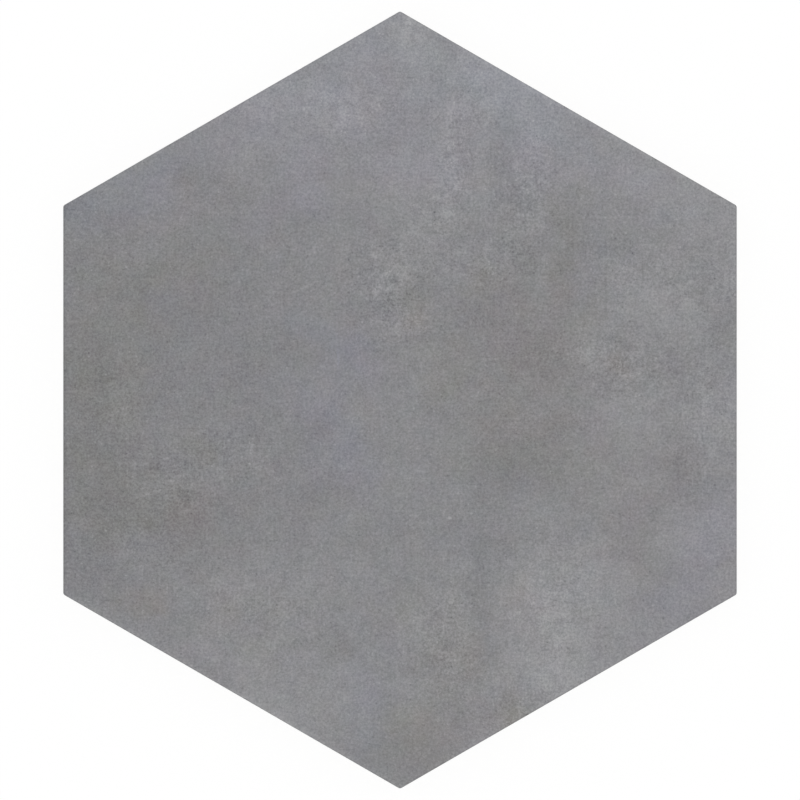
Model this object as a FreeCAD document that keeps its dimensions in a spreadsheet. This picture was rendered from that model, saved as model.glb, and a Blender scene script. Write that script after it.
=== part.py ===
"""Hexagon floor tile: one piece of pressed and fired ceramic, lying face up on its back.

The frame is +Z up, with the origin in the middle of the back, on the plane of its ribs. Two flat sides
face +X and -X, and two corners point along +Y and -Y. Lengths are in millimetres.

The blank is a slanted foot, a straight wall and a rounded arris. A honeycomb of shallow drafted cells is
then pressed into the back, so that the adhesive keys into it and the press can let the tile go.
"""

import FreeCAD, Part
import math
import os

import Sketcher

NODE = "hexagon_tile"

# Every driving size, once: its name in the sheet, its value and what it is.
SIZES = (
    ("across_flats", 216.5, "from one flat side to the opposite one, so 250 across the corners"),
    ("thickness", 9.0, "from the plane of the back ribs to the face"),
    ("corner_radius", 1.0, "rounding of the six corners, seen from above"),
    ("arris_radius", 0.5, "rounding of the edge between the face and the sides"),
    ("foot_height", 2.5, "height of the slanted foot that lets the tile out of its mould"),
    ("foot_inset", 0.8, "how far the foot draws in at the back"),
    ("cell_rings", 5, "rings of back cells around the one in the middle"),
    ("rim_width", 6.0, "least width of the plain rim around the cells"),
    ("rib_width", 3.0, "width of the rib between two cells, on the plane of the back"),
    ("cell_depth", 0.6, "depth of the back cells, which key into the adhesive"),
    ("cell_draft", 35.0, "slant of the cell walls from upright, in degrees"),
)

SIDES = 6
FULL_TURN = 360
TURN = FULL_TURN / SIDES
SQUARE = 90
TILE_FACES = 0  # the direction that the first flat side of the tile faces, in degrees from +X
CELL_FACES = 30  # a cell turns its flat sides to its six neighbours
ROW_RUNS = 30  # a row of cells leaves the middle towards a corner of the tile
ROWS_STEP = 150  # and each next row starts one cell further this way
SECTORS = 3  # turned about the middle, such a block of rows fills the back

START, END, CENTRE = range(1, 4)  # the points of a line, arc or circle, as the sketcher numbers them
ORIGIN = (-1, START)  # the sketch's own origin
UP = FreeCAD.Vector(0, 0, 1)
SAME_HEIGHT = 1e-6  # heights no further apart than this are one height
VOLUME_SHARE = 1e-3  # how far, as a share, the volume that the cells take out may be from theirs

# From the middle of one cell to the middle of the next: the outermost rows end where the rim begins.
PITCH = (
    "(sizes.across_flats / 2 - sizes.foot_inset - sizes.rim_width + sizes.rib_width / sqrt(3))"
    " / (sizes.cell_rings * cos(30 deg) + 1 / sqrt(3))"
)


def make_sheet(doc):
    """The spreadsheet that holds the driving sizes, with one alias for each."""
    sheet = doc.addObject("Spreadsheet::Sheet", "sizes")
    for row, (name, value, meaning) in enumerate(SIZES, start=1):
        sheet.set(f"A{row}", name)
        sheet.set(f"B{row}", str(value))
        sheet.set(f"C{row}", meaning)
        sheet.setAlias(f"B{row}", name)
    doc.recompute()
    return sheet


def new_sketch(body, name, height=None):
    """An empty sketch on the body's XY plane, or above it at a height given as an expression."""
    plane = next(item for item in body.Origin.OriginFeatures if item.Role == "XY_Plane")
    sketch = body.newObject("Sketcher::SketchObject", name)
    sketch.AttachmentSupport = [(plane, "")]
    sketch.MapMode = "FlatFace"
    if height:
        sketch.setExpression("AttachmentOffset.Base.z", height)
    return sketch


def drive(sketch, constraint, name, expression):
    """Adds a named dimension to the sketch and binds it to an expression."""
    index = sketch.addConstraint(constraint)
    sketch.renameConstraint(index, name)
    sketch.setExpression(f"Constraints.{name}", expression)


def towards(centre, distance, degrees):
    """The point at a distance from a centre, in a direction."""
    angle = math.radians(degrees)
    return centre + FreeCAD.Vector(distance * math.cos(angle), distance * math.sin(angle), 0)


def draw_hexagon(sketch, flats, faces, rounding=None, centre=FreeCAD.Vector()):
    """Draws a regular hexagon and returns its inscribed circle.

    flats is a pair: the value that the first guess is drawn with, and the expression that drives it. So is
    rounding, without which the corners are sharp. faces is the direction of the first flat side. The
    circle is for construction, and what holds its centre in place is left to the caller.
    """
    inner = flats[0] / 2
    radius = rounding[0] if rounding else 0
    half_side = (inner - radius) * math.tan(math.radians(TURN / 2))
    circle = sketch.addGeometry(Part.Circle(centre, UP, inner), True)
    sides = []
    for number in range(SIDES):
        direction = faces + number * TURN
        middle = towards(centre, inner, direction)
        first = towards(middle, half_side, direction - SQUARE)
        last = towards(middle, half_side, direction + SQUARE)
        side = sketch.addGeometry(Part.LineSegment(first, last), False)
        sketch.addConstraint(Sketcher.Constraint("Tangent", side, circle))
        sketch.addConstraint(Sketcher.Constraint("Angle", side, math.radians(direction + SQUARE)))
        sides.append(side)
    drive(sketch, Sketcher.Constraint("Diameter", circle, 2 * inner), "flats", flats[1])
    if rounding:
        round_corners(sketch, sides, faces, rounding)
    else:
        for side, following in zip(sides, sides[1:] + sides[:1]):
            sketch.addConstraint(Sketcher.Constraint("Coincident", side, END, following, START))
    return circle


def round_corners(sketch, sides, faces, rounding):
    """Joins the sides of a hexagon with arcs of one driven radius."""
    radius = rounding[0]
    corners = []
    for number, side in enumerate(sides):
        direction = faces + number * TURN
        from_side = towards(sketch.Geometry[side].EndPoint, radius, direction + 2 * SQUARE)
        whole = Part.Circle(from_side, UP, radius)
        arc = Part.ArcOfCircle(whole, math.radians(direction), math.radians(direction + TURN))
        corner = sketch.addGeometry(arc, False)
        following = sides[(number + 1) % SIDES]
        sketch.addConstraint(Sketcher.Constraint("Tangent", side, END, corner, START))
        sketch.addConstraint(Sketcher.Constraint("Tangent", corner, END, following, START))
        corners.append(corner)
    for corner in corners[1:]:
        sketch.addConstraint(Sketcher.Constraint("Equal", corners[0], corner))
    drive(sketch, Sketcher.Constraint("Radius", corners[0], radius), "rounding", rounding[1])


def tile_outline(body, sheet, name, flats, height=None):
    """A sketch of the tile's outline at one height. flats is a value and its expression."""
    sketch = new_sketch(body, name, height)
    circle = draw_hexagon(sketch, flats, TILE_FACES, (sheet.corner_radius, "sizes.corner_radius"))
    sketch.addConstraint(Sketcher.Constraint("Coincident", circle, CENTRE, *ORIGIN))
    return sketch


def make_blank(doc, body, sheet):
    """The pressed blank: the slanted foot, the upright sides and the rounded edge of the face."""
    foot_flats = (sheet.across_flats - 2 * sheet.foot_inset, "sizes.across_flats - 2 * sizes.foot_inset")
    foot = tile_outline(body, sheet, "foot_outline", foot_flats)
    full_flats = (sheet.across_flats, "sizes.across_flats")
    shoulder = tile_outline(body, sheet, "shoulder_outline", full_flats, "sizes.foot_height")

    slanted_foot = body.newObject("PartDesign::AdditiveLoft", "slanted_foot")
    slanted_foot.Profile = foot
    slanted_foot.Sections = [shoulder]
    slanted_foot.Ruled = True
    doc.recompute()

    upright_sides = body.newObject("PartDesign::Pad", "upright_sides")
    upright_sides.Profile = shoulder
    upright_sides.setExpression("Length", "sizes.thickness - sizes.foot_height")
    doc.recompute()

    around_face = [
        f"Edge{number}"
        for number, edge in enumerate(upright_sides.Shape.Edges, start=1)
        if math.isclose(edge.BoundBox.ZMin, sheet.thickness, abs_tol=SAME_HEIGHT)
    ]
    arris = body.newObject("PartDesign::Fillet", "arris")
    arris.Base = (upright_sides, around_face)
    arris.setExpression("Radius", "sizes.arris_radius")
    doc.recompute()


def cell_pitch(sheet):
    """What PITCH comes to."""
    reach = sheet.across_flats / 2 - sheet.foot_inset - sheet.rim_width + sheet.rib_width / math.sqrt(3)
    return reach / (sheet.cell_rings * math.cos(math.radians(TURN / 2)) + 1 / math.sqrt(3))


def draw_cell(body, sheet, name, centre=FreeCAD.Vector()):
    """A sketch of one cell's opening on the back, and its inscribed circle."""
    sketch = new_sketch(body, name)
    flats = (cell_pitch(sheet) - sheet.rib_width, f"{PITCH} - sizes.rib_width")
    return sketch, draw_hexagon(sketch, flats, CELL_FACES, centre=centre)


def press_cell(doc, body, sketch, name):
    """Presses a cell into the back. It grows narrower as it goes deeper, so that it leaves the mould."""
    doc.recompute()
    cell = body.newObject("PartDesign::Pocket", name)
    cell.Profile = sketch
    cell.Reversed = True
    cell.Refine = False
    cell.setExpression("Length", "sizes.cell_depth")
    cell.setExpression("TaperAngle", "-sizes.cell_draft")
    doc.recompute()
    return cell


def press_middle_cell(doc, body, sheet):
    """The cell in the middle of the back."""
    sketch, circle = draw_cell(body, sheet, "middle_cell_outline")
    sketch.addConstraint(Sketcher.Constraint("Coincident", circle, CENTRE, *ORIGIN))
    press_cell(doc, body, sketch, "middle_cell")


def press_first_cell(doc, body, sheet):
    """The first cell of the rows, one pitch from the middle, and its sketch.

    Two construction lines in the sketch give the directions in which the rows run and step.
    """
    pitch = cell_pitch(sheet)
    centre = towards(FreeCAD.Vector(), pitch, ROW_RUNS)
    sketch, circle = draw_cell(body, sheet, "first_cell_outline", centre)
    lines = []
    for direction in (ROW_RUNS, ROWS_STEP):
        far_end = towards(FreeCAD.Vector(), pitch, direction)
        line = sketch.addGeometry(Part.LineSegment(FreeCAD.Vector(), far_end), True)
        sketch.addConstraint(Sketcher.Constraint("Coincident", line, START, *ORIGIN))
        sketch.addConstraint(Sketcher.Constraint("Angle", line, math.radians(direction)))
        lines.append(line)
    sketch.addConstraint(Sketcher.Constraint("Equal", *lines))
    sketch.addConstraint(Sketcher.Constraint("Coincident", lines[0], END, circle, CENTRE))
    drive(sketch, Sketcher.Constraint("Distance", lines[0], pitch), "pitch", PITCH)
    return press_cell(doc, body, sketch, "first_cell"), sketch


def lay_row(doc, name, sketch, axis, count):
    """One step of the honeycomb: copies a pitch apart along a construction line of the sketch."""
    row = doc.addObject("PartDesign::LinearPattern", name)
    row.Direction = (sketch, [axis])
    row.Mode = "Spacing"
    row.setExpression("Offset", PITCH)
    row.setExpression("Occurrences", count)
    return row


def make_honeycomb(doc, body, sheet):
    """The cells of the back, as a block of rows turned about the middle cell."""
    press_middle_cell(doc, body, sheet)
    first_cell, sketch = press_first_cell(doc, body, sheet)

    cells = body.newObject("PartDesign::MultiTransform", "honeycomb")
    cells.Originals = [first_cell]
    cells.Refine = False
    row = lay_row(doc, "row_of_cells", sketch, "Axis0", "sizes.cell_rings")
    rows = lay_row(doc, "rows_side_by_side", sketch, "Axis1", "sizes.cell_rings + 1")
    sectors = doc.addObject("PartDesign::PolarPattern", "sectors_of_rows")
    sectors.Axis = (sketch, ["N_Axis"])
    sectors.Angle = FULL_TURN
    sectors.Occurrences = SECTORS
    cells.Transformations = [row, rows, sectors]
    body.Tip = cells
    doc.recompute()


def cell_volume(sheet):
    """What one cell takes out of the back: a stump between a hexagonal opening and a smaller floor."""
    opening = (cell_pitch(sheet) - sheet.rib_width) / 2
    floor = opening - sheet.cell_depth * math.tan(math.radians(sheet.cell_draft))
    mean_square = (opening**2 + opening * floor + floor**2) / 3
    return sheet.cell_depth * 2 * math.sqrt(3) * mean_square


def check_cells(sheet, blank_volume, volume):
    """Compares what the cells took out of the blank with what that many cells should."""
    count = 1 + SECTORS * sheet.cell_rings * (sheet.cell_rings + 1)
    expected = count * cell_volume(sheet)
    removed = blank_volume - volume
    if not math.isclose(removed, expected, rel_tol=VOLUME_SHARE):
        raise RuntimeError(f"{count} cells should take out {expected:.1f} mm3, not {removed:.1f} mm3")
    print(f"{count} cells, {cell_pitch(sheet):.2f} mm apart, take out {removed:.1f} mm3")


def check_document(doc, body):
    """Stops if any object failed, or if the tile isn't one valid solid."""
    failed = [item.Label for item in doc.Objects if {"Invalid", "Error"} & set(item.State)]
    if failed:
        raise RuntimeError(f"these objects failed: {', '.join(failed)}")
    shape = body.Shape
    if shape.isNull() or not shape.isValid() or len(shape.Solids) != 1:
        raise RuntimeError(f"{body.Label} is not one valid solid")


def make_tile(doc, sheet):
    """The whole tile, as one body."""
    body = doc.addObject("PartDesign::Body", NODE)
    body.Label = NODE
    make_blank(doc, body, sheet)
    blank_volume = body.Shape.Volume
    make_honeycomb(doc, body, sheet)
    check_cells(sheet, blank_volume, body.Shape.Volume)
    return body


def main():
    """Builds the tile, checks it and writes its STEP file."""
    doc = FreeCAD.newDocument("hexagon_floor_tile")
    sheet = make_sheet(doc)
    tile = make_tile(doc, sheet)
    check_document(doc, tile)
    os.makedirs("parts", exist_ok=True)
    tile.Shape.exportStep(f"parts/{NODE}.step")
    print(f"{NODE}: {tile.Shape.Volume:.0f} mm3, {len(tile.Shape.Faces)} faces")


main()
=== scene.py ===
"""Hexagon floor tile, dressed: a pressed and fired tile with a matt cement-look glaze, face up on a floor.

The tile is one piece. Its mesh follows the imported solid: the face with a trace of relief, the rounded
arris, the upright sides, the slanted foot, and the back with its rim and its honeycomb of cells. Three
finishes cover it: the glaze on the face, the bare body with a fringe of glaze on the sides, and the bare
body with kiln wash on the back.

Shapes are in metres, as model.glb gives them. The finishes are worked out in millimetres.
"""

import logging
import math
from collections.abc import Iterable, Sequence
from dataclasses import dataclass, field
from enum import IntEnum, StrEnum

import bmesh
import bpy
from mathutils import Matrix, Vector, noise


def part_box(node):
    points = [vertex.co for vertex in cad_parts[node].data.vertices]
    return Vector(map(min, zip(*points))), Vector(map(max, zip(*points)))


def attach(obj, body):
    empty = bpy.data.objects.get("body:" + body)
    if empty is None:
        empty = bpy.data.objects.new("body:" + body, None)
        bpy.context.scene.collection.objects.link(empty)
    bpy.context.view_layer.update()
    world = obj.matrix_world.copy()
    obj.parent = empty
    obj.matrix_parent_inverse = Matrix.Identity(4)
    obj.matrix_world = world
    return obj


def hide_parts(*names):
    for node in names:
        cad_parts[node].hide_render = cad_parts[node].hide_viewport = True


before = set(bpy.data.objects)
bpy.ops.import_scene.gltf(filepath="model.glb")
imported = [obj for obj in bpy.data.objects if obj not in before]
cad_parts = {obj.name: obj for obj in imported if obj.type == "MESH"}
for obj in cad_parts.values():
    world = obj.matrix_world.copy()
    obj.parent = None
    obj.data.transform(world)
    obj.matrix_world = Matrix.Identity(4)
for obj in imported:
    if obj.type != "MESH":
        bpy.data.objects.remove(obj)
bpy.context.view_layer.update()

log = logging.getLogger("hexagon_floor_tile")

MM = 0.001
NODE = "hexagon_tile"
BODY = "root"

SIDES = 6
TURN = 2 * math.pi / SIDES
HALF_TURN = TURN / 2
QUARTER = math.pi / 2


class Zone(IntEnum):
    """The three kinds of surface on the tile, numbered as the mesh numbers its materials."""

    FACE = 0
    SIDE = 1
    BACK = 2


def heading(angle: float) -> Vector:
    """The level unit vector in a direction, in radians from +X."""
    return Vector((math.cos(angle), math.sin(angle), 0.0))


def round_corner(before: Vector, corner: Vector, after: Vector, reach: float, steps: int) -> list[Vector]:
    """Rounds a corner with a circular arc.

    Args:
        before: A point on the way into the corner.
        corner: The sharp corner.
        after: A point on the way out of it.
        reach: How far from the corner the arc begins and ends.
        steps: How many chords the arc is made of.

    Returns:
        The points of the arc, from its beginning to its end.
    """
    into = (before - corner).normalized()
    out = (after - corner).normalized()
    weight = math.cos((math.pi - into.angle(out)) / 2)
    points = []
    for step in range(steps + 1):
        share = step / steps
        pull = (1 - share) ** 2, 2 * share * (1 - share) * weight, share**2
        across = into * (reach * pull[0]) + out * (reach * pull[2])
        points.append(corner + across / sum(pull))
    return points


@dataclass(frozen=True)
class Hexagon:
    """A regular hexagon with rounded corners, at one height.

    Attributes:
        inner: From the middle to a flat side.
        rounding: The radius of its corners.
        height: Its height above the plane that the tile rests on.
        first_corner: The direction of its first corner, in radians.
        middle: Its middle, on the level.
    """

    inner: float
    rounding: float
    height: float
    first_corner: float
    middle: Vector = field(default_factory=Vector)

    def ring(self, shares: Sequence[float]) -> list[Vector]:
        """Points all the way round it, counterclockwise as seen from above.

        Args:
            shares: Where the points of one side lie, as shares of the way from a corner to the next.

        Returns:
            The points, beginning at the first corner.
        """
        points = []
        for number in range(SIDES):
            corner = self.first_corner + number * TURN
            for share in shares:
                if share <= 0.5:
                    points.append(self._beside(corner, share, 1))
                else:
                    points.append(self._beside(corner + TURN, 1 - share, -1))
        return points

    def _beside(self, corner: float, share: float, way: int) -> Vector:
        """The point a share of a side away from a corner, one way round or the other."""
        away = share * 2 * self.inner * math.tan(HALF_TURN)
        arc_reach = self.rounding * math.tan(HALF_TURN)
        if away >= arc_reach:
            tip = heading(corner) * (self.inner / math.cos(HALF_TURN))
            flat = tip + heading(corner + way * 2 * TURN) * away
        else:
            middle = heading(corner) * ((self.inner - self.rounding) / math.cos(HALF_TURN))
            flat = middle + heading(corner + way * HALF_TURN * away / arc_reach) * self.rounding
        return self.middle + flat + Vector((0.0, 0.0, self.height))


class Shell:
    """The points and faces of a piece, laid ring by ring from the middle of the face to the back."""

    def __init__(self) -> None:
        """Starts with nothing laid."""
        self.points: list[Vector] = []
        self.faces: list[tuple[int, ...]] = []
        self.zones: list[Zone] = []

    def lay(self, points: Iterable[Vector]) -> list[int]:
        """Adds points and returns their numbers."""
        first = len(self.points)
        self.points.extend(points)
        return list(range(first, len(self.points)))

    def patch(self, corners: tuple[int, ...], zone: Zone) -> None:
        """Adds one face."""
        self.faces.append(corners)
        self.zones.append(zone)

    def band(self, ring: list[int], following: list[int], zone: Zone) -> None:
        """Joins a ring to the following one, which has as many points."""
        for number in range(len(ring)):
            ahead = (number + 1) % len(ring)
            self.patch((following[number], following[ahead], ring[ahead], ring[number]), zone)

    def widen(self, ring: list[int], following: list[int], zone: Zone) -> None:
        """Joins a ring to the next one outside it, which has one point more on each side."""
        steps = len(following) // SIDES
        for side in range(SIDES):
            outer = [following[(side * steps + step) % len(following)] for step in range(steps + 1)]
            inner = [ring[(side * (steps - 1) + step) % len(ring)] for step in range(steps)]
            for step in range(steps):
                self.patch((outer[step], outer[step + 1], inner[step]), zone)
            for step in range(steps - 1):
                self.patch((inner[step], outer[step + 1], inner[step + 1]), zone)

    def close(self, ring: list[int], middle: Vector, zone: Zone) -> None:
        """Closes a ring to a point in its middle."""
        tip = self.lay([middle])[0]
        for number in range(len(ring)):
            self.patch((tip, ring[(number + 1) % len(ring)], ring[number]), zone)

    def mesh(self, name: str) -> bpy.types.Mesh:
        """The mesh of everything laid so far."""
        mesh = bpy.data.meshes.new(name)
        mesh.from_pydata(self.points, [], self.faces)
        mesh.polygons.foreach_set("material_index", self.zones)
        return mesh


@dataclass(frozen=True)
class Relief:
    """The trace of relief that the mould leaves on the face, which always goes down from its plane.

    Attributes:
        depth: From the highest places to the lowest.
        swell: The size of its hills along and across the tile.
        octaves: How many finer layers it has.
        calm: The width of the border along the edge in which it fades out.
    """

    depth: float = 0.06 * MM
    swell: float = 9 * MM
    octaves: int = 3
    calm: float = 5 * MM

    def drop(self, place: Vector, from_edge: float) -> float:
        """How far the face lies below its plane.

        Args:
            place: Where on the face.
            from_edge: How far that is from the nearest edge.

        Returns:
            The drop, from nothing to the relief's depth.
        """
        hills = noise.fractal(place / self.swell, 1.0, 2.0, self.octaves)
        fade = min(max(from_edge / self.calm, 0.0), 1.0)
        return self.depth * min(max(0.5 + 0.5 * hills, 0.0), 1.0) * fade


@dataclass(frozen=True)
class Honeycomb:
    """The cells pressed into the back, which key into the adhesive.

    Attributes:
        rings: How many rings of cells lie around the middle one.
        rim_width: The least width of the plain rim around them.
        rib_width: The width of the rib between two cells.
        depth: How deep they are.
        draft: The slant of their walls from upright, in radians.
        lip_reach: How far the rounding of their opening reaches from the sharp edge.
        floor_reach: The same for the hollow between wall and floor.
        rounding: The radius of their corners.
        steps: How many chords round the opening, and as many the hollow.
    """

    rings: int = 5
    rim_width: float = 6 * MM
    rib_width: float = 3 * MM
    depth: float = 0.6 * MM
    draft: float = math.radians(35)
    lip_reach: float = 0.18 * MM
    floor_reach: float = 0.25 * MM
    rounding: float = 0.8 * MM
    steps: int = 2

    def pitch(self, foot: float) -> float:
        """From the middle of a cell to the middle of the next.

        Args:
            foot: From the middle of the back to the edge of its rim.

        Returns:
            The pitch at which the outermost rows end where the rim begins.
        """
        reach = foot - self.rim_width + self.rib_width / math.sqrt(3)
        return reach / (self.rings * math.cos(HALF_TURN) + 1 / math.sqrt(3))

    def middles(self, foot: float) -> list[Vector]:
        """The middle of every cell."""
        pitch = self.pitch(foot)
        along, beside = heading(HALF_TURN) * pitch, heading(QUARTER) * pitch
        places = []
        for row in range(-self.rings, self.rings + 1):
            for column in range(-self.rings, self.rings + 1):
                if abs(row + column) <= self.rings:
                    places.append(along * row + beside * column)
        return places

    def profile(self, foot: float) -> list[tuple[float, float]]:
        """The section of a cell, from the middle of its rib to its floor.

        Returns:
            Pairs of the distance from the cell's middle and the height.
        """
        opening = (self.pitch(foot) - self.rib_width) / 2
        floor = opening - self.depth * math.tan(self.draft)
        rib = Vector((self.pitch(foot) / 2, 0.0, 0.0))
        lip = Vector((opening, 0.0, 0.0))
        hollow = Vector((floor, 0.0, self.depth))
        inside = Vector((floor / 2, 0.0, self.depth))
        shelf = Vector((floor - 3 * self.floor_reach, 0.0, self.depth))
        points = [
            rib,
            *round_corner(rib, lip, hollow, self.lip_reach, self.steps),
            *round_corner(lip, hollow, inside, self.floor_reach, self.steps),
            shelf,
            inside,
        ]
        return [(point.x, point.z) for point in points]

    def lay(self, shell: Shell, foot: float) -> None:
        """Lays every cell with its half of the ribs around it."""
        profile = self.profile(foot)
        side = 2 * profile[0][0] * math.tan(HALF_TURN)
        arc_share = self.rounding * math.tan(HALF_TURN) / side
        shares = (0.0, arc_share, 0.5, 1 - arc_share)
        for middle in self.middles(foot):
            rings = []
            for number, (inner, height) in enumerate(profile):
                rounding = self.rounding if number else 0.0
                rings.append(shell.lay(Hexagon(inner, rounding, height, 0.0, middle).ring(shares)))
            for ring, following in zip(rings, rings[1:]):
                shell.band(ring, following, Zone.BACK)
            shell.close(rings[-1], middle + Vector((0.0, 0.0, self.depth)), Zone.BACK)


@dataclass(frozen=True)
class Tile:
    """The tile itself, as one mesh.

    Attributes:
        low: The lowest corner of its box.
        high: The highest corner of its box.
        arris_radius: The rounding of the edge of its face.
        foot_height: How high its slanted foot goes.
        foot_inset: How far the foot draws in at the back.
        foot_reach: How far the small roundings above and below the foot reach.
        face_rings: How many rings of points its face has.
        arris_steps: How many chords round its arris.
        foot_steps: How many chords round the edges of its foot.
        wall_rings: How many rings of points divide its upright sides.
        crowding: How much closer the points lie at the corners than along the sides, from 0 to 1.
        relief: The relief of its face.
        cells: The cells of its back.
    """

    low: Vector
    high: Vector
    arris_radius: float = 0.5 * MM
    foot_height: float = 2.5 * MM
    foot_inset: float = 0.8 * MM
    foot_reach: float = 0.3 * MM
    face_rings: int = 118
    arris_steps: int = 5
    foot_steps: int = 3
    wall_rings: int = 3
    crowding: float = 0.7
    relief: Relief = field(default_factory=Relief)
    cells: Honeycomb = field(default_factory=Honeycomb)

    @property
    def half_flats(self) -> float:
        """From the middle of the tile to a flat side."""
        return (self.high.x - self.low.x) / 2

    @property
    def corner_radius(self) -> float:
        """The rounding of its six corners, seen from above, at which they just reach the ends of the box."""
        sharp = self.half_flats / math.cos(HALF_TURN)
        reach = (self.high.y - self.low.y) / 2
        return (sharp - reach) / (1 / math.cos(HALF_TURN) - 1)

    @property
    def thickness(self) -> float:
        """From the plane of the back to the face."""
        return self.high.z - self.low.z

    @property
    def foot(self) -> float:
        """From the middle of the back to the edge of its rim."""
        return self.half_flats - self.foot_inset

    def shares(self, steps: int, crowding: float) -> list[float]:
        """Where the points of one side lie, closer together near its corners."""
        even = [step / steps for step in range(steps)]
        return [share - crowding * math.sin(2 * math.pi * share) / (2 * math.pi) for share in even]

    def outline(self, inset: float, height: float, rounding: float) -> list[Vector]:
        """The ring of points around the tile at one inset and height."""
        shares = self.shares(self.face_rings, self.crowding)
        return Hexagon(self.half_flats - inset, rounding, height, QUARTER, Vector()).ring(shares)

    def lay_face(self, shell: Shell) -> list[int]:
        """Lays the face and returns its last ring, where the arris begins."""
        reach = self.half_flats - self.arris_radius
        rounding = self.corner_radius - self.arris_radius
        previous: list[int] = []
        for number in range(1, self.face_rings + 1):
            share = number / self.face_rings
            shares = self.shares(number, self.crowding * share**2)
            hexagon = Hexagon(reach * share, rounding * share, self.thickness, QUARTER)
            points = hexagon.ring(shares)
            for point in points:
                point.z -= self.relief.drop(point, reach * (1 - share))
            ring = shell.lay(points)
            if previous:
                shell.widen(previous, ring, Zone.FACE)
            else:
                self._lay_middle(shell, ring)
            previous = ring
        return previous

    def _lay_middle(self, shell: Shell, ring: list[int]) -> None:
        """Closes the first ring of the face to the point in its middle."""
        drop = self.relief.drop(Vector((0.0, 0.0, self.thickness)), self.half_flats)
        tip = shell.lay([Vector((0.0, 0.0, self.thickness - drop))])[0]
        for number in range(len(ring)):
            shell.patch((ring[number], ring[(number + 1) % len(ring)], tip), Zone.FACE)

    def section(self) -> list[tuple[float, float, float, Zone]]:
        """The section of the edge, from the arris down to the rim of the back.

        Returns:
            For each ring its inset, its height, its rounding and the zone of the band above it.
        """
        inside = Vector((self.half_flats, 0.0, self.thickness))
        edge = Vector((0.0, 0.0, self.thickness))
        shoulder = Vector((0.0, 0.0, self.foot_height))
        heel = Vector((self.foot_inset, 0.0, 0.0))
        rim = Vector((self.foot_inset + 4 * self.foot_reach, 0.0, 0.0))
        arris = round_corner(inside, edge, shoulder, self.arris_radius, self.arris_steps)
        bend = round_corner(edge, shoulder, heel, self.foot_reach, self.foot_steps)
        turn = round_corner(shoulder, heel, rim, self.foot_reach, self.foot_steps)
        wall = [arris[-1].lerp(bend[0], step / (self.wall_rings + 1)) for step in range(1, self.wall_rings + 1)]
        rings = [(point.x, point.z, self.corner_radius - point.x, Zone.FACE) for point in arris[1:]]
        for point in wall + bend + turn[:-1]:
            rings.append((point.x, point.z, self.corner_radius, Zone.SIDE))
        for point in (turn[-1], rim):
            rings.append((point.x, point.z, self.corner_radius, Zone.BACK))
        return rings

    def build(self, finishes: dict[Zone, bpy.types.Material]) -> bpy.types.Object:
        """Builds the tile and dresses it.

        Args:
            finishes: The material of each zone.

        Returns:
            The tile as one object.
        """
        shell = Shell()
        ring = self.lay_face(shell)
        for inset, height, rounding, zone in self.section():
            following = shell.lay(self.outline(inset, height, rounding))
            shell.band(ring, following, zone)
            ring = following
        self.cells.lay(shell, self.foot)
        mesh = shell.mesh("tile")
        self._fill_rim(mesh)
        for zone in Zone:
            mesh.materials.append(finishes[zone])
        tile = bpy.data.objects.new("tile", mesh)
        bpy.context.scene.collection.objects.link(tile)
        return tile

    def _fill_rim(self, mesh: bpy.types.Mesh) -> None:
        """Welds the cells to each other and fills the flat rim between them and the foot."""
        work = bmesh.new()
        work.from_mesh(mesh)
        bmesh.ops.remove_doubles(work, verts=work.verts, dist=0.001 * MM)
        open_edges = [edge for edge in work.edges if edge.is_boundary]
        filled = bmesh.ops.triangle_fill(work, use_beauty=True, use_dissolve=False, edges=open_edges)
        for item in filled["geom"]:
            if isinstance(item, bmesh.types.BMFace):
                item.material_index = Zone.BACK
        bmesh.ops.recalc_face_normals(work, faces=work.faces)
        for face in work.faces:
            face.smooth = True
        work.to_mesh(mesh)
        work.free()


Value = float | int | Sequence[float] | bpy.types.NodeSocket


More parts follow.
